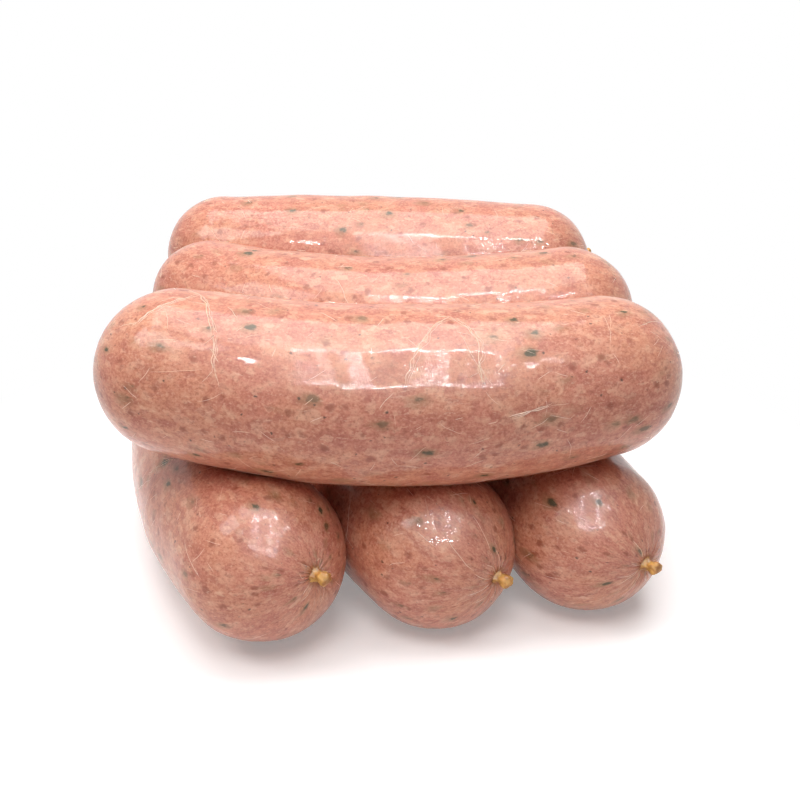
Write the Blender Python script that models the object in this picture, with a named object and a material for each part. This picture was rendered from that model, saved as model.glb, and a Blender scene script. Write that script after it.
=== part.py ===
"""A stack of six raw sausage links: three lie side by side, and three more lie across them.

Each link is one soft solid. Its axis is a shallow bow, its section is round, its ends are
domes, and a short dried tip of casing stands on each end. Where two links touch, both are
pressed to the surface halfway between them, and what touches the table is pressed flat.
"""
import math
from collections import namedtuple

import bmesh
import bpy
from mathutils import Vector

MM = 0.001
COLLECTION = "sausage_stack"

# ---------------------------------------------------------------- driving dimensions
# Each link in millimetres and degrees. x, y: its middle. turn: its axis from +X.
# tilt: its axis above the level. length: overall. far, thick, near: across the root of
# its dome at the start of the axis, across its middle, and across the other dome's root.
# bow, rise: how far its ends bend aside and up. tip_in, tip_up: how far its tips lean to
# the inside of the bow, and up.
Link = namedtuple("Link", "name x y turn tilt length far thick near bow rise tip_in tip_up")

BOTTOM_ROW = (
    Link("link_bottom_left", -43.5, -10.0, -75.0, -1.0, 117.0, 35.0, 35.0, 33.5, 6.0, 2.0, 17.5, 6.5),
    Link("link_bottom_middle", -9.0, -7.0, -73.0, -1.0, 110.0, 35.0, 34.2, 33.0, 5.0, 0.5, 19.0, -2.0),
    Link("link_bottom_right", 26.5, 1.0, -73.0, -1.0, 111.0, 35.0, 35.2, 32.8, 0.5, 0.0, 23.0, -0.5),
)
TOP_ROW = (
    Link("link_top_front", -1.0, -38.5, 4.0, -2.0, 116.0, 32.5, 35.0, 32.5, 7.5, 1.0, 20.0, 3.0),
    Link("link_top_middle", -5.0, 1.0, -8.0, 0.5, 113.0, 28.0, 31.5, 31.0, 8.5, 1.5, 20.0, 6.0),
    Link("link_top_back", -6.5, 39.5, -4.5, 0.0, 110.0, 31.0, 35.0, 31.0, 2.0, 0.5, 20.0, 4.0),
)

FLOOR_SAG = 1.0 * MM       # how deep a bottom link is pressed flat on the table
REST_SQUASH = 2.4 * MM     # how deep a top link and the one under it press together
SKIN_GAP = 0.30 * MM       # left between two links that touch

# The dried tips of the casing: each leans to the inside of the bow, where it was twisted.
TIP_LENGTH = 2.6 * MM      # that stands out of the dome
TIP_ROOT = 1.4 * MM
TIP_POINT = 0.9 * MM
TIP_SINK = 1.6 * MM        # that is inside the dome
TIP_SIDES = 8

# ---------------------------------------------------------------- fineness of the solids
BODY_RINGS = 20            # rings along the bowed axis
DOME_RINGS = 6             # rings on each dome
POLE_ANGLE = math.radians(86)
BEVEL_RESOLUTION = 8       # gives a ring of 2 * 8 + 4 points
AXIS_SAMPLES = 60          # points tried along an axis when looking for the nearest one
PRESS_STEPS = 6

SKIN_COLOUR = (0.78, 0.42, 0.33, 1.0)
SKIN_ROUGHNESS = 0.34


class Axis:
    """The bowed axis of a link, and its radius, for t from -1 to 1 between the domes."""

    def __init__(self, link, height):
        turn, tilt = math.radians(link.turn), math.radians(link.tilt)
        self.along = Vector((math.cos(turn) * math.cos(tilt),
                             math.sin(turn) * math.cos(tilt),
                             math.sin(tilt)))
        self.aside = Vector((-math.sin(turn), math.cos(turn), 0.0))
        self.up = self.along.cross(self.aside)
        self.middle = Vector((link.x * MM, link.y * MM, height))
        self.radius_middle = link.thick * MM / 2
        self.radius_spread = (link.near + link.far) * MM / 4 - self.radius_middle
        self.radius_taper = (link.near - link.far) * MM / 4
        self.half = (link.length - (link.near + link.far) / 2) * MM / 2
        self.bow = link.bow * MM
        self.rise = link.rise * MM
        self.tip_in = math.radians(link.tip_in)
        self.tip_up = math.radians(link.tip_up)
        count = AXIS_SAMPLES
        self.samples = [self.point(2 * i / count - 1) for i in range(count + 1)]
        self.radii = [self.radius(2 * i / count - 1) for i in range(count + 1)]

    def point(self, t):
        bend = t * t * (self.bow * self.aside + self.rise * self.up)
        return self.middle + t * self.half * self.along + bend

    def direction(self, t):
        bend = 2 * t * (self.bow * self.aside + self.rise * self.up)
        return (self.half * self.along + bend).normalized()

    def radius(self, t):
        return self.radius_middle + self.radius_taper * t + self.radius_spread * t * t

    def lowest(self):
        return min(p.z - r for p, r in zip(self.samples, self.radii))

    def skin_distance(self, place):
        """How far a place is outside the link's round skin, and the way out there."""
        best, way = None, None
        for centre, radius in zip(self.samples, self.radii):
            offset = place - centre
            distance = offset.length - radius
            if best is None or distance < best:
                best, way = distance, offset
        return best, way.normalized()


def overlap(upper, lower):
    """How deep two round links run into each other at most."""
    return max(ra + rb - (pa - pb).length
               for pa, ra in zip(upper.samples, upper.radii)
               for pb, rb in zip(lower.samples, lower.radii))


def lay_stack():
    """Stand the bottom row on the table, then lower each top link onto that row."""
    bottom = []
    for link in BOTTOM_ROW:
        bottom.append(Axis(link, -Axis(link, 0.0).lowest() - FLOOR_SAG))
    top = []
    for link in TOP_ROW:
        high, low = 80 * MM, 30 * MM
        while high - low > 0.01 * MM:
            height = (high + low) / 2
            if max(overlap(Axis(link, height), under) for under in bottom) > REST_SQUASH:
                low = height
            else:
                high = height
        top.append(Axis(link, high))
    return dict(zip([link.name for link in BOTTOM_ROW + TOP_ROW], bottom + top))


def centre_stack(axes):
    """Move the stack so that the middle of its outline is over the origin."""
    low = Vector((min(p[i] - r for a in axes.values() for p, r in zip(a.samples, a.radii))
                  for i in range(3)))
    high = Vector((max(p[i] + r for a in axes.values() for p, r in zip(a.samples, a.radii))
                   for i in range(3)))
    shift = -(low + high) / 2
    shift.z = 0.0
    for axis in axes.values():
        axis.middle += shift
        axis.samples = [place + shift for place in axis.samples]


def skin_material():
    material = bpy.data.materials.new("raw_sausage")
    material.use_nodes = True
    shader = material.node_tree.nodes["Principled BSDF"]
    shader.inputs["Base Color"].default_value = SKIN_COLOUR
    shader.inputs["Roughness"].default_value = SKIN_ROUGHNESS
    shader.inputs["Metallic"].default_value = 0.0
    return material


def profile(axis):
    """Centre and radius of every ring, from one pole to the other."""
    def dome(end):
        for i in range(1, DOME_RINGS + 1):
            angle = POLE_ANGLE * i / DOME_RINGS
            depth = axis.radius(end) * math.sin(angle)
            yield axis.point(end) + axis.direction(end) * end * depth, \
                axis.radius(end) * math.cos(angle)

    ts = [2 * i / BODY_RINGS - 1 for i in range(BODY_RINGS + 1)]
    return list(dome(-1))[::-1] + [(axis.point(t), axis.radius(t)) for t in ts] + list(dome(1))


def make_body(name, axis, collection):
    """A link as a curve whose points carry the ring radii, then as a closed mesh."""
    rings = profile(axis)
    curve = bpy.data.curves.new(name + "_curve", "CURVE")
    curve.dimensions = "3D"
    curve.bevel_depth = 1.0
    curve.bevel_resolution = BEVEL_RESOLUTION
    curve.use_fill_caps = True
    spline = curve.splines.new("POLY")
    spline.points.add(len(rings) - 1)
    for point, (centre, radius) in zip(spline.points, rings):
        point.co = (*centre, 1.0)
        point.radius = radius
    holder = bpy.data.objects.new(name + "_curve", curve)
    collection.objects.link(holder)
    bpy.context.view_layer.update()
    evaluated = holder.evaluated_get(bpy.context.evaluated_depsgraph_get())
    mesh = bpy.data.meshes.new_from_object(evaluated)
    mesh.name = name
    body = bpy.data.objects.new(name, mesh)
    body.matrix_world = holder.matrix_world
    collection.objects.link(body)
    bpy.data.objects.remove(holder)
    bpy.data.curves.remove(curve)
    weld = bmesh.new()
    weld.from_mesh(mesh)
    bmesh.ops.remove_doubles(weld, verts=weld.verts, dist=0.01 * MM)
    bmesh.ops.recalc_face_normals(weld, faces=weld.faces)
    weld.to_mesh(mesh)
    weld.free()
    return body


def press(body, own, others):
    """Press a link flat on the table, and back to halfway from each link it touches."""
    for vertex in body.data.vertices:
        place = vertex.co.copy()
        for _ in range(PRESS_STEPS):
            inside, _ = own.skin_distance(place)
            for other in others:
                outside, away = other.skin_distance(place)
                push = (SKIN_GAP + inside - outside) / 2
                if push > 0:
                    place += away * push
                    inside -= push
            place.z = max(place.z, 0.0)
        vertex.co = place


def add_tip(body, axis, end, cutters):
    """Join a short cone of dried casing to one end of a link."""
    way = axis.direction(end) * end
    lean = way + axis.aside * math.tan(axis.tip_in) + axis.up * math.tan(axis.tip_up)
    lean.normalize()
    root = axis.point(end) + lean * (axis.radius(end) - TIP_SINK)
    height = TIP_SINK + TIP_LENGTH
    cone = bmesh.new()
    bmesh.ops.create_cone(cone, cap_ends=True, segments=TIP_SIDES,
                          radius1=TIP_ROOT, radius2=TIP_POINT, depth=height)
    mesh = bpy.data.meshes.new(body.name + "_tip")
    cone.to_mesh(mesh)
    cone.free()
    tip = bpy.data.objects.new(mesh.name, mesh)
    tip.rotation_euler = lean.to_track_quat("Z", "Y").to_euler()
    tip.location = root + lean * height / 2
    tip.hide_render = True
    tip.display_type = "WIRE"
    cutters.objects.link(tip)
    join = body.modifiers.new(tip.name, "BOOLEAN")
    join.operation = "UNION"
    join.solver = "EXACT"
    join.object = tip


def main():
    for old in list(bpy.data.objects):
        bpy.data.objects.remove(old)
    parts = bpy.data.collections.new(COLLECTION)
    cutters = bpy.data.collections.new(COLLECTION + "_joined_tips")
    for collection in (parts, cutters):
        bpy.context.scene.collection.children.link(collection)

    skin = skin_material()
    axes = lay_stack()
    centre_stack(axes)
    for name, axis in axes.items():
        body = make_body(name, axis, parts)
        press(body, axis, [other for other in axes.values() if other is not axis])
        body.data.materials.append(skin)
        body.data.shade_smooth()
        for end in (-1, 1):
            add_tip(body, axis, end, cutters)


main()
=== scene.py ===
"""Looks of a stack of six raw sausage links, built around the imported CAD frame.

Each link is modelled again as a fine skin on the CAD link's own axis: lumps of minced meat,
crinkled casing, puckers at its two ends, and flats where it presses on a neighbour. Thin
pale fibres and veins lie on the skin, and a dried amber tip of casing stands on each end.
"""
import itertools
import math
from collections import namedtuple

import bpy
import numpy as np
from mathutils import Matrix, Vector


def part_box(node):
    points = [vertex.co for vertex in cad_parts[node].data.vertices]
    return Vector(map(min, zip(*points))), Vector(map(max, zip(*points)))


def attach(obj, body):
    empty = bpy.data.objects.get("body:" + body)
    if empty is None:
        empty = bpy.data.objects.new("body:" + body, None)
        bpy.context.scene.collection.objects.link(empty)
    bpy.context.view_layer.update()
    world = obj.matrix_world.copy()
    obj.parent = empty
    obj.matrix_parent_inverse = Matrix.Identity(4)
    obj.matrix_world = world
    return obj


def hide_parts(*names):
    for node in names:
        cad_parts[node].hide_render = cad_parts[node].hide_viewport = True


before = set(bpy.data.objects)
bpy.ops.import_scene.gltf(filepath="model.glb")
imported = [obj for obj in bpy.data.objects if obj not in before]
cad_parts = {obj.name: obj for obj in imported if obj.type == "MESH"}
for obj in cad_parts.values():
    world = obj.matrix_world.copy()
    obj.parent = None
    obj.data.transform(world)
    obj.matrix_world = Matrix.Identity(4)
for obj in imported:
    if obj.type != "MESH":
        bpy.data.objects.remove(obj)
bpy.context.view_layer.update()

MM = 0.001

# ---------------------------------------------------------------- the links, as the CAD has them
# Millimetres and degrees. x, y: the middle. turn, tilt: of the axis. length: overall.
# far, thick, near: across one end, the middle and the other end. bow, rise: how far the
# ends bend aside and up. tip_in, tip_up: how far the tips lean inside the bow, and up.
Link = namedtuple("Link", "name x y turn tilt length far thick near bow rise tip_in tip_up")

BOTTOM_ROW = (
    Link("link_bottom_left", -43.5, -10.0, -75.0, -1.0, 117.0, 35.0, 35.0, 33.5, 6.0, 2.0, 17.5, 6.5),
    Link("link_bottom_middle", -9.0, -7.0, -73.0, -1.0, 110.0, 35.0, 34.2, 33.0, 5.0, 0.5, 19.0, -2.0),
    Link("link_bottom_right", 26.5, 1.0, -73.0, -1.0, 111.0, 35.0, 35.2, 32.8, 0.5, 0.0, 23.0, -0.5),
)
TOP_ROW = (
    Link("link_top_front", -1.0, -38.5, 4.0, -2.0, 116.0, 32.5, 35.0, 32.5, 7.5, 1.0, 20.0, 3.0),
    Link("link_top_middle", -5.0, 1.0, -8.0, 0.5, 113.0, 28.0, 31.5, 31.0, 8.5, 1.5, 20.0, 6.0),
    Link("link_top_back", -6.5, 39.5, -4.5, 0.0, 110.0, 31.0, 35.0, 31.0, 2.0, 0.5, 20.0, 4.0),
)
FLOOR_SAG = 1.0 * MM
REST_SQUASH = 2.4 * MM
AXIS_SAMPLES = 60

# ---------------------------------------------------------------- fineness of the skin
COLUMNS = 224              # around a link
BODY_ROWS = 176            # along its bowed axis
DOME_ROWS = 60             # over each dome
POLE_ANGLE = math.radians(89)
SKIN_GAP = 0.12 * MM       # left between two skins that touch
PRESS_STEPS = 5
PRESS_REACH = 3.0 * MM     # only skin this near to another link is pressed by it

rng = np.random.default_rng(41)
GRADIENTS = np.random.default_rng(5).normal(size=(1024, 3))
GRADIENTS /= np.linalg.norm(GRADIENTS, axis=1)[:, None]


# ---------------------------------------------------------------- small helpers
def unit(v):
    return v / np.linalg.norm(v, axis=-1, keepdims=True)


def noise(places, size, seed):
    """Smooth noise from about -1 to 1, whose lumps are about size across."""
    q = places / size + seed * 17.31
    cell = np.floor(q).astype(np.int64)
    f = q - cell
    ease = f * f * f * (f * (f * 6 - 15) + 10)
    total = np.zeros(q.shape[:-1])
    for corner in itertools.product((0, 1), repeat=3):
        at = cell + corner
        key = (at[..., 0] * 73856093) ^ (at[..., 1] * 19349663) ^ (at[..., 2] * 83492791)
        gradient = GRADIENTS[(key >> 3) & 1023]
        weight = np.prod(np.where(np.array(corner) == 1, ease, 1 - ease), axis=-1)
        total += weight * np.einsum("...i,...i", gradient, f - corner)
    return total * 1.7


def smooth_step(low, high, value):
    x = np.clip((value - low) / (high - low), 0, 1)
    return x * x * (3 - 2 * x)


def mesh_of(name, vertices, quads, others):
    """A mesh from an array of quads and an array, or a list, of other faces."""
    loops = np.concatenate([quads.ravel()] + [np.ravel(face) for face in others]).astype(np.int32)
    sizes = np.concatenate([np.full(len(quads), 4), [len(face) for face in others]]).astype(np.int32)
    mesh = bpy.data.meshes.new(name)
    mesh.vertices.add(len(vertices))
    mesh.vertices.foreach_set("co", np.asarray(vertices, np.float32).ravel())
    mesh.loops.add(len(loops))
    mesh.loops.foreach_set("vertex_index", loops)
    mesh.polygons.add(len(sizes))
    mesh.polygons.foreach_set("loop_start", (np.cumsum(sizes) - sizes).astype(np.int32))
    mesh.update(calc_edges=True)
    mesh.validate()
    mesh.shade_smooth()
    return mesh


# ---------------------------------------------------------------- the axes of the links
class Axis:
    """The bowed axis of a link, and its radius, for t from -1 to 1 between the domes."""

    def __init__(self, link, height):
        turn, tilt = math.radians(link.turn), math.radians(link.tilt)
        self.along = np.array([math.cos(turn) * math.cos(tilt),
                               math.sin(turn) * math.cos(tilt), math.sin(tilt)])
        self.aside = np.array([-math.sin(turn), math.cos(turn), 0.0])
        self.up = np.cross(self.along, self.aside)
        self.middle = np.array([link.x * MM, link.y * MM, height])
        self.radius_middle = link.thick * MM / 2
        self.radius_spread = (link.near + link.far) * MM / 4 - self.radius_middle
        self.radius_taper = (link.near - link.far) * MM / 4
        self.half = (link.length - (link.near + link.far) / 2) * MM / 2
        self.bend = link.bow * MM * self.aside + link.rise * MM * self.up
        self.tip_in = math.radians(link.tip_in)
        self.tip_up = math.radians(link.tip_up)
        self.samples = np.linspace(-1, 1, AXIS_SAMPLES + 1)

    def point(self, t):
        t = np.asarray(t, float)[..., None]
        return self.middle + t * self.half * self.along + t * t * self.bend

    def direction(self, t):
        t = np.asarray(t, float)[..., None]
        return unit(self.half * self.along + 2 * t * self.bend)

    def radius(self, t):
        t = np.asarray(t, float)
        return self.radius_middle + self.radius_taper * t + self.radius_spread * t * t

    def lowest(self):
        return (self.point(self.samples)[:, 2] - self.radius(self.samples)).min()

    def lean(self, end):
        """The way the casing tip stands on one end."""
        way = self.direction(end) * end
        return unit(way + self.aside * math.tan(self.tip_in) + self.up * math.tan(self.tip_up))

    def skin_distance(self, places):
        """How far places are outside the round skin, and the way out there."""
        centres, radii = self.point(self.samples), self.radius(self.samples)
        offsets = places[:, None, :] - centres
        distances = np.linalg.norm(offsets, axis=2) - radii
        nearest = distances.argmin(axis=1)
        rows = np.arange(len(places))
        return distances[rows, nearest], unit(offsets[rows, nearest])


def overlap(upper, lower):
    pa, pb = upper.point(upper.samples), lower.point(lower.samples)
    apart = np.linalg.norm(pa[:, None] - pb, axis=2)
    return (upper.radius(upper.samples)[:, None] + lower.radius(lower.samples) - apart).max()


def lay_stack():
    """The same heights and the same middle of the outline as the CAD stack."""
    axes = {}
    for link in BOTTOM_ROW:
        axes[link.name] = Axis(link, -Axis(link, 0.0).lowest() - FLOOR_SAG)
    bottom = list(axes.values())
    for link in TOP_ROW:
        high, low = 80 * MM, 30 * MM
        while high - low > 0.01 * MM:
            height = (high + low) / 2
            if max(overlap(Axis(link, height), under) for under in bottom) > REST_SQUASH:
                low = height
            else:
                high = height
        axes[link.name] = Axis(link, high)
    centres = np.concatenate([a.point(a.samples) for a in axes.values()])
    radii = np.concatenate([a.radius(a.samples) for a in axes.values()])[:, None]
    shift = -((centres - radii).min(axis=0) + (centres + radii).max(axis=0)) / 2
    for axis in axes.values():
        axis.middle[:2] += shift[:2]
    return axes


# ---------------------------------------------------------------- the skin of a link
class Skin:
    """The grid of skin points of one link, from the pole at t = -1 to the one at t = 1."""

    def __init__(self, name, axis, seed):
        self.name, self.axis, self.seed = name, axis, seed
        self.rows = 2 * DOME_ROWS + BODY_ROWS + 1
        self.along = np.zeros(self.rows)          # metres along the skin from the middle
        self.places = np.zeros((self.rows, COLUMNS, 3))
        self.outward = np.zeros((self.rows, COLUMNS, 3))
        self.tip_distance = np.zeros((self.rows, COLUMNS))
        self.angles = np.linspace(0, 2 * np.pi, COLUMNS, endpoint=False)
        self._lay_rows()
        self.straight = self._straight_coordinates()

    def _ring(self, direction):
        side = unit(self.axis.aside - (self.axis.aside @ direction) * direction)
        up = np.cross(direction, side)
        return np.cos(self.angles)[:, None] * side + np.sin(self.angles)[:, None] * up

    def _lay_rows(self):
        axis = self.axis
        for i in range(BODY_ROWS + 1):
            t = 2 * i / BODY_ROWS - 1
            ring = self._ring(axis.direction(t))
            row = DOME_ROWS + i
            self.places[row] = axis.point(t) + ring * axis.radius(t)
            self.outward[row] = ring
            self.along[row] = t * axis.half
        for end in (-1, 1):
            direction = axis.direction(end)
            ring = self._ring(direction)
            lean = axis.lean(end)
            hinge = unit(np.cross(direction * end, lean))
            full_turn = math.acos(np.clip(direction @ lean * end, -1, 1))
            for i in range(1, DOME_ROWS + 1):
                angle = POLE_ANGLE * i / DOME_ROWS
                out = ring * math.cos(angle) + direction * end * math.sin(angle)
                out = rotate(out, hinge, full_turn * (angle / POLE_ANGLE) ** 1.5)
                row = DOME_ROWS + BODY_ROWS + i if end == 1 else DOME_ROWS - i
                self.places[row] = axis.point(end) + out * axis.radius(end)
                self.outward[row] = out
                self.along[row] = end * (axis.half + axis.radius(end) * angle)
        reach = np.stack([np.linalg.norm(self.places - (axis.point(e) + axis.lean(e) * axis.radius(e)),
                                         axis=2) for e in (-1, 1)])
        self.tip_distance = reach.min(axis=0)

    def _straight_coordinates(self):
        """Millimetres on a straightened link, so that patterns have no seam."""
        radius = self.axis.radius_middle / MM
        flat = np.zeros((self.rows, COLUMNS, 3))
        squeeze = np.sqrt(np.clip(1 - (np.maximum(np.abs(self.along) - self.axis.half, 0)
                                       / (self.axis.radius_middle * np.pi / 2)) ** 2, 0.0, 1))
        flat[..., 0] = self.along[:, None] / MM + self.seed * 131.7
        flat[..., 1] = radius * squeeze[:, None] * np.cos(self.angles)
        flat[..., 2] = radius * squeeze[:, None] * np.sin(self.angles)
        return flat

    def relief(self):
        """Height of the skin over its smooth form, in metres."""
        p, seed = self.places, self.seed
        height = 0.26 * noise(p, 21 * MM, seed) + 0.13 * noise(p, 9 * MM, seed + 1)
        height += 0.032 * noise(p, 3.8 * MM, seed + 2) + 0.010 * noise(p, 2.0 * MM, seed + 3)
        # fine creases of the casing: long ones lengthwise, short ones round the link
        crease = 1 - np.abs(noise(self.straight / np.array([5.0, 1.0, 1.0]), 1.6, seed + 4))
        height += 0.010 * (crease ** 3 - 0.4)
        crinkle = 1 - np.abs(noise(self.straight / np.array([1.0, 2.2, 2.2]), 1.3, seed + 5))
        height += 0.007 * (crinkle ** 2 - 0.5)
        # the casing is drawn in to each tip, with puckers that run out from it
        near = self.tip_distance / MM
        fold = np.abs(np.sin(self.angles * 9 + 1.6 * noise(self.straight / 6, 1.0, seed + 6)))
        pucker = np.exp(-near / 3.0) * smooth_step(0.4, 1.6, near)
        height += pucker * 0.55 * (fold - 0.6)
        thin_fold = np.abs(np.sin(self.angles * 17 + 2.2 * noise(self.straight / 5, 1.0, seed + 7)))
        height += np.exp(-near / 6.0) * 0.16 * (thin_fold - 0.6)
        height -= 0.75 * np.exp(-(near / 2.6) ** 2)
        return height * MM

    def press(self, others):
        """Press the skin on the floor, and to halfway from each link that it touches."""
        flat = self.places.reshape(-1, 3)
        for other in others:
            outside, _ = other.skin_distance(flat)
            close = np.flatnonzero(outside < PRESS_REACH)
            for _ in range(PRESS_STEPS if len(close) else 0):
                inside, _ = self.axis.skin_distance(flat[close])
                outside, away = other.skin_distance(flat[close])
                push = np.maximum((SKIN_GAP + inside - outside) / 2, 0)
                flat[close] += away * push[:, None]
        # soft edges round the flats on the floor
        low = flat[:, 2]
        flat[:, 2] = np.where(low < 0.4 * MM, 0.4 * MM * np.exp((low / MM - 0.4) / 0.4), low)
        self.places = flat.reshape(self.places.shape)

    def at(self, along, around):
        """Places and outward ways on the finished skin: metres along, radians around."""
        row = np.clip(np.interp(along, self.along, np.arange(self.rows)), 0, self.rows - 1.001)
        column = (np.asarray(around) / (2 * np.pi) * COLUMNS) % COLUMNS
        r, c = row.astype(int), column.astype(int)
        fr, fc = (row - r)[:, None], (column - c)[:, None]
        c = c % COLUMNS
        c1 = (c + 1) % COLUMNS
        mixed = []
        for grid in (self.places, self.outward):
            low = grid[r, c] * (1 - fc) + grid[r, c1] * fc
            high = grid[r + 1, c] * (1 - fc) + grid[r + 1, c1] * fc
            mixed.append(low * (1 - fr) + high * fr)
        return mixed[0], unit(mixed[1])

    def make(self, material):
        """The mesh of the skin: the grid, closed at each pole by one point."""
        poles = [self.places[0].mean(axis=0), self.places[-1].mean(axis=0)]
        vertices = np.concatenate([self.places.reshape(-1, 3), poles])
        row = np.arange(self.rows - 1)[:, None] * COLUMNS
        column = np.arange(COLUMNS)
        after = (column + 1) % COLUMNS
        quads = np.stack([row + column, row + after, row + COLUMNS + after,
                          row + COLUMNS + column], axis=-1).reshape(-1, 4)
        last = (self.rows - 1) * COLUMNS
        first_pole, last_pole = self.rows * COLUMNS, self.rows * COLUMNS + 1
        caps = np.concatenate([np.stack([np.full(COLUMNS, first_pole), after, column], axis=1),
                               np.stack([np.full(COLUMNS, last_pole), last + column, last + after],
                                        axis=1)])
        mesh = mesh_of(self.name + "_skin", vertices, quads, caps)
        coordinates = np.concatenate([self.straight.reshape(-1, 3),
                                      self.straight[0].mean(axis=0)[None],
                                      self.straight[-1].mean(axis=0)[None]])
        layer = mesh.attributes.new("casing", "FLOAT_VECTOR", "POINT")
        layer.data.foreach_set("vector", coordinates.astype(np.float32).ravel())
        near = np.append(self.tip_distance.ravel(), [0.0, 0.0]) / MM
        layer = mesh.attributes.new("tip_distance", "FLOAT", "POINT")
        layer.data.foreach_set("value", near.astype(np.float32))
        mesh.shade_smooth()
        piece = bpy.data.objects.new(self.name + "_skin", mesh)
        piece.data.materials.append(material)
        bpy.context.scene.collection.objects.link(piece)
        return piece


def rotate(vectors, hinge, angle):
    """Turn vectors about a unit hinge."""
    cos, sin = math.cos(angle), math.sin(angle)
    along = (vectors @ hinge)[:, None] * hinge
    return vectors * cos + np.cross(hinge, vectors) * sin + along * (1 - cos)


# ---------------------------------------------------------------- tubes: fibres and tips
def tube(points, radii, ways, sides):
    """Vertices and faces of a closed tube along points, with round ends."""
    points, radii = np.asarray(points), np.asarray(radii)
    tangent = unit(np.gradient(points, axis=0))
    side = unit(np.cross(tangent, ways))
    up = np.cross(side, tangent)
    angle = np.linspace(0, 2 * np.pi, sides, endpoint=False)
    ring = (np.cos(angle)[None, :, None] * side[:, None] + np.sin(angle)[None, :, None] * up[:, None])
    radii = np.broadcast_to(radii[..., None] if radii.ndim == 2 else radii[:, None, None],
                            (len(points), sides, 1))
    vertices = (points[:, None] + ring * radii).reshape(-1, 3)
    faces = []
    for i in range(len(points) - 1):
        for j in range(sides):
            k = (j + 1) % sides
            faces.append([i * sides + j, i * sides + k, (i + 1) * sides + k, (i + 1) * sides + j])
    faces.append(list(range(sides))[::-1])
    faces.append([(len(points) - 1) * sides + j for j in range(sides)])
    return vertices, faces


def join_tubes(name, tubes, material):
    vertices, faces, base = [], [], 0
    for own_vertices, own_faces in tubes:
        vertices.append(own_vertices)
        faces += [[i + base for i in face] for face in own_faces]
        base += len(own_vertices)
    mesh = bpy.data.meshes.new(name)
    mesh.from_pydata(np.concatenate(vertices).tolist(), [], faces)
    mesh.shade_smooth()
    piece = bpy.data.objects.new(name, mesh)
    piece.data.materials.append(material)
    bpy.context.scene.collection.objects.link(piece)
    return piece


FIBRE_SIDES = 5
FIBRES_PER_LINK = 210
FIBRE_STEP = 0.45 * MM
FIBRE_WANDER = 0.22 * MM


def fibre(skin, route, width, wander_by=FIBRE_WANDER, seed=11):
    """A thin strand on the skin along a route of (mm along, degrees around)."""
    route = np.array(route, float)
    knots = np.linspace(0, 1, len(route))
    radius = skin.axis.radius_middle
    steps = np.linspace(0, 1, 60)
    along = np.interp(steps, knots, route[:, 0]) * MM
    around = np.radians(np.interp(steps, knots, route[:, 1]))
    length = np.hypot(np.diff(along), np.diff(around) * radius).sum()
    steps = np.linspace(0, 1, max(6, int(length / FIBRE_STEP)))
    along = np.interp(steps, knots, route[:, 0]) * MM
    around = np.radians(np.interp(steps, knots, route[:, 1]))
    wander = np.stack([along, around * radius, np.full_like(along, skin.seed * MM)], axis=1)
    along = along + wander_by * noise(wander, 2.4 * MM, seed)
    around = around + wander_by / radius * noise(wander, 2.4 * MM, seed + 1)
    places, ways = skin.at(along, around)
    taper = np.clip(np.minimum(steps, 1 - steps) * 5 + 0.15, 0, 1)
    radii = width / 2 * MM * taper
    return tube(places - ways * radii[:, None] * 0.35, radii, ways, FIBRE_SIDES)


def loose_fibres(skin, count):
    """Random strands, most of them short and a few long: most run lengthwise, some across."""
    tubes = []
    half = skin.axis.half / MM
    for _ in range(count):
        start = rng.uniform(-half - 12, half + 12)
        around = rng.uniform(0, 360)
        heading = rng.normal(0, 0.7) + (np.pi / 2 if rng.random() < 0.25 else 0)
        length = rng.uniform(1.2, 4.5) if rng.random() < 0.88 else rng.uniform(5, 14)
        curl = rng.normal(0, 0.05)
        route = [(start, around)]
        for _ in range(5):
            step = length / 5
            heading += curl * step
            x, a = route[-1]
            route.append((x + step * math.cos(heading),
                          a + math.degrees(step * math.sin(heading) / 17.0)))
        tubes.append(fibre(skin, route, rng.uniform(0.07, 0.15)))
    return tubes


# The veins that show best: routes of (mm along, degrees around), by link.
VEINS = {
    "link_top_front": (((0.5, 152), (1.5, 140), (3.0, 127), (6.0, 110), (9.5, 101)),
                       ((9.5, 101), (12.0, 112), (13.6, 125), (12.6, 142), (13.2, 154)),
                       ((-46, 130), (-43, 112), (-38, 88)), ((-38, 88), (-35, 101), (-31, 127)),
                       ((17, 171), (24, 166)), ((-31, 127), (-30, 150))),
    "link_bottom_left": (((16, 150), (20, 128), (22, 108)), ((22, 108), (28, 100), (34, 104))),
}
VEIN_WIDTH = 0.20
VEIN_SPREAD = 0.35          # mm between the three strands of a vein
VEIN_WANDER = 0.55 * MM


def veins(skin):
    """Each vein is three tangled strands, with short branches off it."""
    tubes = []
    for route in VEINS.get(skin.name, ()):
        for strand, share in enumerate((1.0, 0.6, 0.45)):
            aside = VEIN_SPREAD * (strand - 1)
            tubes.append(fibre(skin, [(x + aside, a) for x, a in route], VEIN_WIDTH * share,
                               VEIN_WANDER, 11 + 10 * strand))
        for x, a in route[1:]:
            reach = rng.uniform(1.5, 3.5) * (1 if rng.random() < 0.5 else -1)
            tubes.append(fibre(skin, [(x, a), (x + reach, a + rng.uniform(-9, 9))],
                               VEIN_WIDTH * 0.5))
    return tubes


PUCKER_FIBRES = 10


def pucker_fibres(skin, end):
    """Pale strands that run out from the root of a casing tip."""
    tubes = []
    pole = end * (skin.axis.half + skin.axis.radius(end) * POLE_ANGLE) / MM
    for k in range(PUCKER_FIBRES):
        around = k * 360 / PUCKER_FIBRES + rng.uniform(-17, 17)
        first = rng.uniform(0.9, 1.5)
        last = first + rng.uniform(0.8, 5.5)
        middle = (first + last) / 2
        route = [(pole - end * first, around), (pole - end * middle, around + rng.uniform(-6, 6)),
                 (pole - end * last, around + rng.uniform(-14, 14))]
        tubes.append(fibre(skin, route, rng.uniform(0.10, 0.17)))
    return tubes


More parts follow.
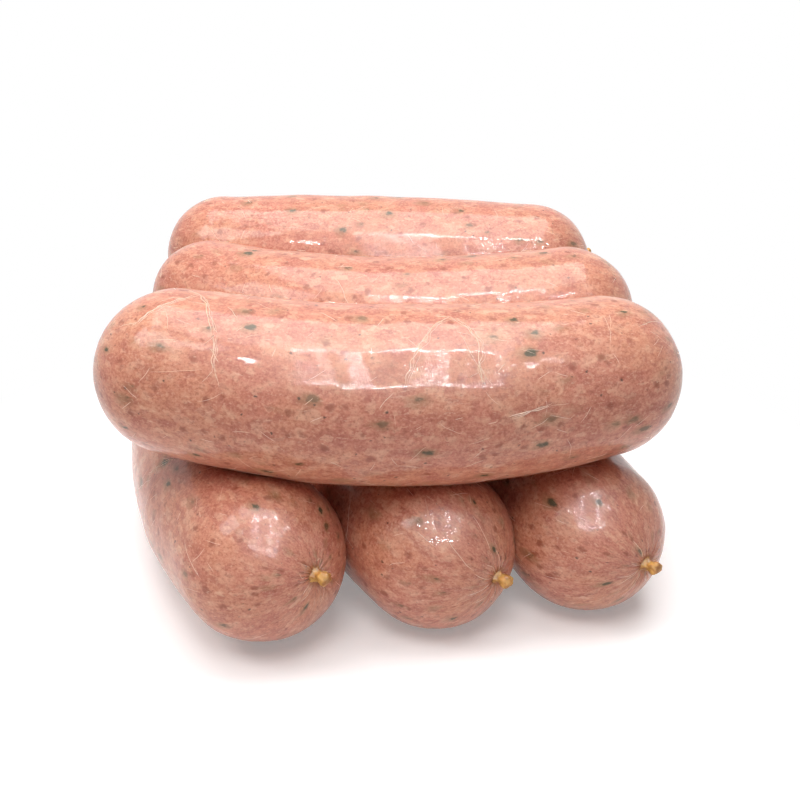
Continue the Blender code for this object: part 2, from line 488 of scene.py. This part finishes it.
TIP_RINGS, TIP_SIDES = 22, 28
TIP_SINK, TIP_LENGTH = 1.3, 4.1    # mm: how deep the stub starts, and how long it is
TIP_STEPS = (0, 0.22, 0.40, 0.55, 0.72, 0.88, 0.96, 1.0)
TIP_RADII = (2.1, 1.30, 0.95, 1.15, 1.38, 1.20, 0.70, 0.15)
TIP_TWIST = 2.2
TIP_ROUGH = 0.13 * MM


def make_tip(skin, end, material):
    """A dried, twisted stub of casing: fluted, knobbed and a little bent."""
    axis = skin.axis
    lean = axis.lean(end)
    root = axis.point(end) + lean * axis.radius(end)
    side = unit(np.cross(lean, axis.up))
    other = np.cross(lean, side)
    bend = rng.uniform(-0.5, 0.5, 2)
    rings, sides = TIP_RINGS, TIP_SIDES
    steps = np.linspace(0, 1, rings)
    heights = -TIP_SINK + TIP_LENGTH * steps
    profile = np.interp(steps, TIP_STEPS, TIP_RADII)
    angle = np.linspace(0, 2 * np.pi, sides, endpoint=False)
    vertices = []
    for s, h, r in zip(steps, heights, profile):
        twist = TIP_TWIST * s
        flutes = 1 + 0.13 * np.sin(3 * angle + twist * 3) + 0.08 * np.sin(7 * angle - twist * 5)
        ring = np.cos(angle)[:, None] * side + np.sin(angle)[:, None] * other
        middle = root + lean * h * MM + (bend[0] * side + bend[1] * other) * (s * s) * MM
        vertices.append(middle + ring * (r * flutes)[:, None] * MM)
    vertices = np.concatenate(vertices)
    rough = TIP_ROUGH * noise(vertices, 0.8 * MM, skin.seed + end)
    vertices = vertices + unit(vertices - root) * rough[:, None]
    faces = []
    for i in range(rings - 1):
        for j in range(sides):
            k = (j + 1) % sides
            faces.append([i * sides + j, i * sides + k, (i + 1) * sides + k, (i + 1) * sides + j])
    faces.append(list(range(sides))[::-1])
    faces.append([(rings - 1) * sides + j for j in range(sides)])
    label = "near" if end == 1 else "far"
    mesh = bpy.data.meshes.new(f"{skin.name}_tip_{label}")
    mesh.from_pydata(vertices.tolist(), [], faces)
    mesh.shade_smooth()
    piece = bpy.data.objects.new(mesh.name, mesh)
    piece.data.materials.append(material)
    bpy.context.scene.collection.objects.link(piece)
    return piece


# ---------------------------------------------------------------- materials
class Nodes:
    """Short ways to add and link shader nodes."""

    def __init__(self, name):
        self.material = bpy.data.materials.new(name)
        self.material.use_nodes = True
        self.tree = self.material.node_tree
        self.shader = self.tree.nodes["Principled BSDF"]

    def add(self, kind, **settings):
        node = self.tree.nodes.new(kind)
        for key, value in settings.items():
            setattr(node, key, value)
        return node

    def plug(self, socket, value):
        if hasattr(value, "links"):
            self.tree.links.new(value, socket)
        else:
            socket.default_value = value

    def math(self, operation, a, b=0.0, c=0.0):
        node = self.add("ShaderNodeMath", operation=operation)
        for socket, value in zip(node.inputs, (a, b, c)):
            self.plug(socket, value)
        return node.outputs[0]

    def vector(self, operation, a, b=(0, 0, 0), scale=1.0):
        node = self.add("ShaderNodeVectorMath", operation=operation)
        self.plug(node.inputs[0], a)
        self.plug(node.inputs[1], b)
        if operation == "SCALE":
            self.plug(node.inputs["Scale"], scale)
        return node.outputs[0]

    def attribute(self, name):
        return self.add("ShaderNodeAttribute", attribute_name=name)

    def noise(self, where, scale, detail=2.0, roughness=0.5, distortion=0.0):
        node = self.add("ShaderNodeTexNoise")
        self.plug(node.inputs["Vector"], where)
        for key, value in (("Scale", scale), ("Detail", detail), ("Roughness", roughness),
                           ("Distortion", distortion)):
            node.inputs[key].default_value = value
        return node

    def cells(self, where, scale, feature="F1", randomness=1.0):
        node = self.add("ShaderNodeTexVoronoi", feature=feature)
        self.plug(node.inputs["Vector"], where)
        node.inputs["Scale"].default_value = scale
        node.inputs["Randomness"].default_value = randomness
        return node

    def range(self, value, low, high, to_low=0.0, to_high=1.0):
        node = self.add("ShaderNodeMapRange", interpolation_type="SMOOTHSTEP")
        for socket, v in zip(node.inputs, (value, low, high, to_low, to_high)):
            self.plug(socket, v)
        return node.outputs[0]

    def mix(self, factor, a, b, blend="MIX"):
        node = self.add("ShaderNodeMix", data_type="RGBA", blend_type=blend)
        self.plug(node.inputs["Factor"], factor)
        self.plug(node.inputs["A"], a)
        self.plug(node.inputs["B"], b)
        return [s for s in node.outputs if s.type == "RGBA"][0]

    def bump(self, height, distance, normal=None, strength=1.0):
        node = self.add("ShaderNodeBump")
        node.inputs["Strength"].default_value = strength
        node.inputs["Distance"].default_value = distance
        self.plug(node.inputs["Height"], height)
        if normal is not None:
            self.plug(node.inputs["Normal"], normal)
        return node.outputs[0]


def colour(red, green, blue):
    return (red, green, blue, 1.0)


PINK = colour(0.558, 0.202, 0.132)
PEACH = colour(0.585, 0.235, 0.140)
ROSE = colour(0.385, 0.100, 0.064)
FAT = colour(0.760, 0.450, 0.300)
LEAN = colour(0.250, 0.050, 0.022)
HERB = colour(0.052, 0.042, 0.012)
HERB_HAZE = colour(0.280, 0.140, 0.060)
PEPPER = colour(0.060, 0.035, 0.025)
FIBRE_PALE = colour(0.820, 0.540, 0.380)
TIP_STAIN = colour(0.360, 0.130, 0.035)


def flecks(n, where, cell_size, share, radius, softness, warp):
    """Scattered soft-edged spots: a mask that is 1 in a spot, and the spot's own random."""
    bend = n.vector("SCALE", n.noise(where, 1 / warp, 3).outputs["Color"], scale=warp * 1.5)
    bent = n.vector("ADD", where, bend)
    cells = n.cells(bent, 1 / cell_size)
    split = n.add("ShaderNodeSeparateColor")
    n.plug(split.inputs[0], cells.outputs["Color"])
    present = n.math("LESS_THAN", split.outputs[0], share)
    reach = n.math("MULTIPLY_ADD", split.outputs[1], radius * 0.7, radius * 0.45)
    distance = n.math("MULTIPLY", cells.outputs["Distance"], cell_size)
    edge = n.math("SUBTRACT", distance, reach)
    return n.math("MULTIPLY", n.range(edge, softness, -softness), present), split.outputs[2]


def meat_material():
    n = Nodes("raw_sausage")
    casing = n.attribute("casing").outputs["Vector"]
    near_tip = n.attribute("tip_distance").outputs["Fac"]

    # slow changes of tone, then the grain of the mince
    tone = n.noise(casing, 0.075, 2).outputs["Fac"]
    base = n.mix(n.range(tone, 0.35, 0.65), PINK, PEACH)
    blotch = n.noise(n.vector("MULTIPLY", casing, (0.7, 1, 1)), 0.42, 2, 0.5).outputs["Fac"]
    base = n.mix(n.range(blotch, 0.50, 0.66, 0.0, 0.46), base, ROSE)
    base = n.mix(n.range(blotch, 0.46, 0.32, 0.0, 0.30), base, FAT)

    bend = n.vector("SCALE", n.noise(casing, 0.8, 3).outputs["Color"], scale=1.6)
    bent = n.vector("ADD", casing, bend)
    mince = n.cells(n.vector("MULTIPLY", bent, (0.7, 1, 1)), 0.80, "SMOOTH_F1")
    split = n.add("ShaderNodeSeparateColor")
    n.plug(split.inputs[0], mince.outputs["Color"])
    base = n.mix(n.range(split.outputs[0], 0.62, 0.80, 0.0, 0.36), base, FAT)
    base = n.mix(n.range(split.outputs[1], 0.64, 0.80, 0.0, 0.44), base, ROSE)
    grain = n.noise(casing, 1.7, 3, 0.7).outputs["Fac"]
    base = n.mix(n.range(grain, 0.50, 0.70, 0.0, 0.42), base, FAT)
    base = n.mix(n.range(grain, 0.50, 0.32, 0.0, 0.42), base, LEAN)

    # bits of fat, lean, herb and pepper under the casing
    fat, _ = flecks(n, n.vector("MULTIPLY", casing, (0.5, 1, 1)), 7.0, 0.40, 0.80, 0.25, 1.5)
    base = n.mix(n.math("MULTIPLY", fat, 0.60), base, FAT)
    spot, _ = flecks(n, n.vector("ADD", casing, (40, 3, 7)), 3.1, 0.60, 0.70, 0.40, 1.0)
    base = n.mix(n.math("MULTIPLY", spot, 0.72), base, LEAN)
    leaf_where = n.vector("ADD", n.vector("MULTIPLY", casing, (0.75, 1.0, 1.2)), (90, 11, 2))
    haze, _ = flecks(n, leaf_where, 4.6, 0.62, 1.35, 0.95, 1.3)
    base = n.mix(n.math("MULTIPLY", haze, 0.60), base, HERB_HAZE)
    leaf, shade = flecks(n, leaf_where, 4.6, 0.62, 0.74, 0.26, 0.9)
    base = n.mix(n.math("MULTIPLY", leaf, n.range(shade, 0.0, 0.8, 0.45, 0.96)), base, HERB)
    speck, _ = flecks(n, n.vector("ADD", casing, (17, 29, 5)), 2.2, 0.42, 0.24, 0.12, 0.5)
    base = n.mix(n.math("MULTIPLY", speck, 0.85), base, PEPPER)

    # fine pale threads in the casing, mostly lengthwise
    streak = n.noise(n.vector("MULTIPLY", casing, (0.30, 1, 1)), 1.9, 3, 0.65).outputs["Fac"]
    base = n.mix(n.range(streak, 0.60, 0.74, 0.0, 0.45), base, FIBRE_PALE)

    # the casing browns where it is drawn in to a tip
    stain = n.math("MULTIPLY", n.range(near_tip, 3.0, 1.2), n.range(grain, 0.35, 0.6, 0.6, 1.0))
    base = n.mix(n.math("MULTIPLY", stain, 0.90), base, TIP_STAIN)

    n.plug(n.shader.inputs["Base Color"], base)
    n.plug(n.shader.inputs["Roughness"], n.range(grain, 0.3, 0.7, 0.40, 0.56))
    n.shader.inputs["Specular IOR Level"].default_value = 0.24
    n.shader.inputs["Subsurface Weight"].default_value = 0.22
    n.shader.inputs["Subsurface Radius"].default_value = (1.0, 0.36, 0.20)
    n.shader.inputs["Subsurface Scale"].default_value = 0.0016
    n.shader.inputs["Coat Weight"].default_value = 0.6
    n.shader.inputs["Coat Roughness"].default_value = 0.035
    n.shader.inputs["Coat IOR"].default_value = 1.42

    # the wet casing is crinkled in fine upright ripples, more in some patches than others
    patchy = n.range(n.noise(casing, 0.22, 2).outputs["Fac"], 0.36, 0.62, 0.30, 1.0)
    crinkle = n.noise(n.vector("MULTIPLY", casing, (2.6, 0.9, 0.9)), 1.1, 3, 0.6).outputs["Fac"]
    height = n.math("MULTIPLY", crinkle, patchy)
    height = n.math("ADD", height, n.math("MULTIPLY", streak, 0.5))
    n.plug(n.shader.inputs["Normal"], n.bump(height, 0.00006))
    n.plug(n.shader.inputs["Coat Normal"], n.bump(height, 0.000020))
    return n.material


def fibre_material():
    n = Nodes("casing_fibre")
    where = n.add("ShaderNodeTexCoord").outputs["Object"]
    tone = n.noise(where, 600.0, 2).outputs["Fac"]
    n.plug(n.shader.inputs["Base Color"], n.mix(tone, colour(0.78, 0.48, 0.36), FIBRE_PALE))
    n.plug(n.shader.inputs["Roughness"], n.range(tone, 0.3, 0.7, 0.28, 0.42))
    n.shader.inputs["Subsurface Weight"].default_value = 0.3
    n.shader.inputs["Subsurface Scale"].default_value = 0.001
    n.plug(n.shader.inputs["Normal"], n.bump(n.noise(where, 1800.0, 2).outputs["Fac"], 0.00004))
    return n.material


def tip_material():
    n = Nodes("dried_casing")
    where = n.add("ShaderNodeTexCoord").outputs["Object"]
    tone = n.noise(where, 700.0, 3).outputs["Fac"]
    amber = n.mix(n.range(tone, 0.35, 0.65), colour(0.34, 0.130, 0.018), colour(0.66, 0.350, 0.080))
    n.plug(n.shader.inputs["Base Color"], amber)
    n.plug(n.shader.inputs["Roughness"], n.range(tone, 0.3, 0.7, 0.45, 0.62))
    n.shader.inputs["Subsurface Weight"].default_value = 0.4
    n.shader.inputs["Subsurface Radius"].default_value = (1.0, 0.5, 0.2)
    n.shader.inputs["Subsurface Scale"].default_value = 0.0012
    n.shader.inputs["Coat Weight"].default_value = 0.05
    n.shader.inputs["Coat Roughness"].default_value = 0.35
    n.plug(n.shader.inputs["Normal"], n.bump(n.noise(where, 2200.0, 3).outputs["Fac"], 0.00008))
    return n.material


# ---------------------------------------------------------------- stage, lights and camera
FLOOR_SIZE = 6.0
FLOOR_COLOUR = (0.86, 0.84, 0.84)
FLOOR_LIFT = 0.26           # added to the floor as the camera and reflections see it
FLOOR_FADE_START, FLOOR_FADE_END = 0.075, 0.13   # metres from the middle of the stack
WORLD_STRENGTH = 0.04       # of the light that comes from all round


def make_floor():
    """A white floor: it keeps the shadow near the stack, and is plain white further away."""
    bpy.ops.mesh.primitive_plane_add(size=FLOOR_SIZE, location=(0, 0, -0.02 * MM))
    floor = bpy.context.object
    floor.name = "floor"
    n = Nodes("white_floor")
    n.shader.inputs["Base Color"].default_value = (*FLOOR_COLOUR, 1)
    n.shader.inputs["Roughness"].default_value = 0.6
    n.shader.inputs["Specular IOR Level"].default_value = 0.2
    rays = n.add("ShaderNodeLightPath")
    seen = n.math("MAXIMUM", rays.outputs["Is Camera Ray"], rays.outputs["Is Glossy Ray"])
    n.shader.inputs["Emission Color"].default_value = (1, 1, 1, 1)
    n.plug(n.shader.inputs["Emission Strength"], n.math("MULTIPLY", seen, FLOOR_LIFT))
    place = n.add("ShaderNodeNewGeometry").outputs["Position"]
    away = n.add("ShaderNodeVectorMath", operation="LENGTH")
    n.plug(away.inputs[0], place)
    fade = n.range(away.outputs["Value"], FLOOR_FADE_START, FLOOR_FADE_END)
    white = n.add("ShaderNodeEmission")
    blend = n.add("ShaderNodeMixShader")
    n.plug(blend.inputs[0], n.math("MULTIPLY", seen, fade))
    n.plug(blend.inputs[1], n.shader.outputs[0])
    n.plug(blend.inputs[2], white.outputs[0])
    n.plug(n.tree.nodes["Material Output"].inputs["Surface"], blend.outputs[0])
    floor.data.materials.append(n.material)


def make_world():
    world = bpy.data.worlds.new("studio")
    bpy.context.scene.world = world
    world.use_nodes = True
    tree = world.node_tree
    background = tree.nodes["Background"]
    background.inputs["Color"].default_value = (1, 1, 1, 1)
    rays = tree.nodes.new("ShaderNodeLightPath")
    seen = tree.nodes.new("ShaderNodeMath")
    seen.operation = "MAXIMUM"
    tree.links.new(rays.outputs["Is Camera Ray"], seen.inputs[0])
    tree.links.new(rays.outputs["Is Glossy Ray"], seen.inputs[1])
    strength = tree.nodes.new("ShaderNodeMath")
    strength.operation = "MULTIPLY_ADD"
    tree.links.new(seen.outputs[0], strength.inputs[0])
    strength.inputs[1].default_value = 1.0 - WORLD_STRENGTH
    strength.inputs[2].default_value = WORLD_STRENGTH
    tree.links.new(strength.outputs[0], background.inputs["Strength"])


def area_light(name, place, target, width, height, energy):
    data = bpy.data.lights.new(name, "AREA")
    data.shape = "RECTANGLE"
    data.size = width
    data.size_y = height
    data.energy = energy
    lamp = bpy.data.objects.new(name, data)
    lamp.location = place
    way = Vector(target) - Vector(place)
    lamp.rotation_euler = way.to_track_quat("-Z", "Y").to_euler()
    bpy.context.scene.collection.objects.link(lamp)
    return lamp


# name: place, target, width, height and watts
SOFTBOXES = {
    "overhead_softbox": ((0.0, 0.07, 0.55), (0, 0.0, 0.03), 0.50, 0.42, 3.45),
    "key_softbox": ((-0.02, -0.26, 0.47), (0, 0, 0.03), 0.22, 0.20, 0.95),
    "side_softbox": ((-0.35, -0.15, 0.48), (0, 0, 0.03), 0.20, 0.20, 0.9),
}


def make_lights():
    lamps = {name: area_light(name, *setting) for name, setting in SOFTBOXES.items()}
    lamps["key_softbox"].visible_glossy = False   # the strips below are its reflection
    make_strip_lights()


# Three panes outlined with light strips hang in front, above the camera. They show only in
# reflections, where they draw bright loops on the wet casing.
STRIP_CENTRE = Vector((0.012, -0.262, 0.380))
STRIP_TARGET = Vector((0.0, -0.055, 0.060))
PANES = ((-0.085, -0.030), (-0.015, 0.095), (0.110, 0.180))   # left and right of each pane
PANE_HALF_HEIGHT = 0.165
PANE_CORNER = 0.030
PANE_CORNERS = ((1, 1), (-1, 1), (-1, -1), (1, -1))
STRIP_THICK = 0.0055         # of the level bars
UPRIGHT_SHARE = 0.28        # how thick the upright bars are by the level ones
STRIP_STRENGTH = 170.0
LAMPS = ((-0.180, 0.03), (0.260, 0.05))
LAMP_RADIUS = 0.022


def pane_outline(left, right):
    """A rounded rectangle, as points round it: x, y and the share of the full thickness."""
    corner = min(PANE_CORNER, (right - left) * 0.48)
    points = []
    for k, (sx, sy) in enumerate(PANE_CORNERS):
        cx = right - corner if sx > 0 else left + corner
        cy = sy * (PANE_HALF_HEIGHT - corner)
        for i in range(7):
            angle = math.radians(90 * k + 15 * i)
            level = abs(math.sin(angle))
            points.append((cx + corner * math.cos(angle), cy + corner * math.sin(angle),
                           UPRIGHT_SHARE + (1 - UPRIGHT_SHARE) * level))
    return points


def make_strip_lights():
    curve = bpy.data.curves.new("strip_lights", "CURVE")
    curve.dimensions = "3D"
    curve.bevel_depth = STRIP_THICK / 2
    curve.bevel_resolution = 1
    for left, right in PANES:
        outline = pane_outline(left, right)
        spline = curve.splines.new("POLY")
        spline.use_cyclic_u = True
        spline.points.add(len(outline) - 1)
        for point, (x, y, share) in zip(spline.points, outline):
            point.co = (x, y, 0, 1)
            point.radius = share
    for x, y in LAMPS:
        spline = curve.splines.new("POLY")
        spline.points.add(1)
        for point, dy in zip(spline.points, (-LAMP_RADIUS, LAMP_RADIUS)):
            point.co = (x, y + dy, 0, 1)
            point.radius = 1.6
    glow = Nodes("strip_glow")
    emission = glow.add("ShaderNodeEmission")
    emission.inputs["Strength"].default_value = STRIP_STRENGTH
    glow.plug(glow.tree.nodes["Material Output"].inputs["Surface"], emission.outputs[0])
    strips = bpy.data.objects.new("strip_lights", curve)
    strips.data.materials.append(glow.material)
    strips.location = STRIP_CENTRE
    strips.rotation_euler = (STRIP_TARGET - STRIP_CENTRE).to_track_quat("-Z", "Y").to_euler()
    strips.visible_camera = False
    strips.visible_diffuse = False
    strips.visible_shadow = False
    bpy.context.scene.collection.objects.link(strips)


CAMERA_PLACE = (0.00479, -0.21745, 0.13126)
CAMERA_DOWN = math.radians(24.98)
CAMERA_ROLL = math.radians(0.40)
CAMERA_LENS = 46.72


def make_camera():
    data = bpy.data.cameras.new("camera")
    data.sensor_width = 36
    data.lens = CAMERA_LENS
    data.clip_start = 0.01
    camera = bpy.data.objects.new("camera", data)
    camera.location = CAMERA_PLACE
    look = Vector((0, math.cos(CAMERA_DOWN), -math.sin(CAMERA_DOWN)))
    turn = look.to_track_quat("-Z", "Y").to_matrix()
    roll = turn @ Matrix.Rotation(CAMERA_ROLL, 3, "Z")
    camera.rotation_euler = roll.to_euler()
    bpy.context.scene.collection.objects.link(camera)
    bpy.context.scene.camera = camera


# ---------------------------------------------------------------- the stack
def make_stack():
    axes = lay_stack()
    meat, strands, dried = meat_material(), fibre_material(), tip_material()
    for index, (name, axis) in enumerate(axes.items()):
        skin = Skin(name, axis, index + 1)
        skin.places += skin.outward * skin.relief()[..., None]
        skin.press([other for other in axes.values() if other is not axis])
        pieces = [skin.make(meat)]
        tubes = loose_fibres(skin, FIBRES_PER_LINK) + veins(skin)
        for end in (-1, 1):
            tubes += pucker_fibres(skin, end)
            pieces.append(make_tip(skin, end, dried))
        pieces.append(join_tubes(name + "_fibres", tubes, strands))
        low, high = (Vector(c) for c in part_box(name))
        own_low = Vector(skin.places.reshape(-1, 3).min(axis=0))
        own_high = Vector(skin.places.reshape(-1, 3).max(axis=0))
        off = max(abs(c) for c in (*(own_low - low), *(own_high - high)))
        print(f"{name}: {off / MM:.2f} mm from its CAD box")
        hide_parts(name)
        for piece in pieces:
            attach(piece, "root")


def main():
    bpy.context.scene.view_settings.view_transform = "Standard"
    make_camera()
    make_world()
    make_lights()
    make_floor()
    make_stack()


main()
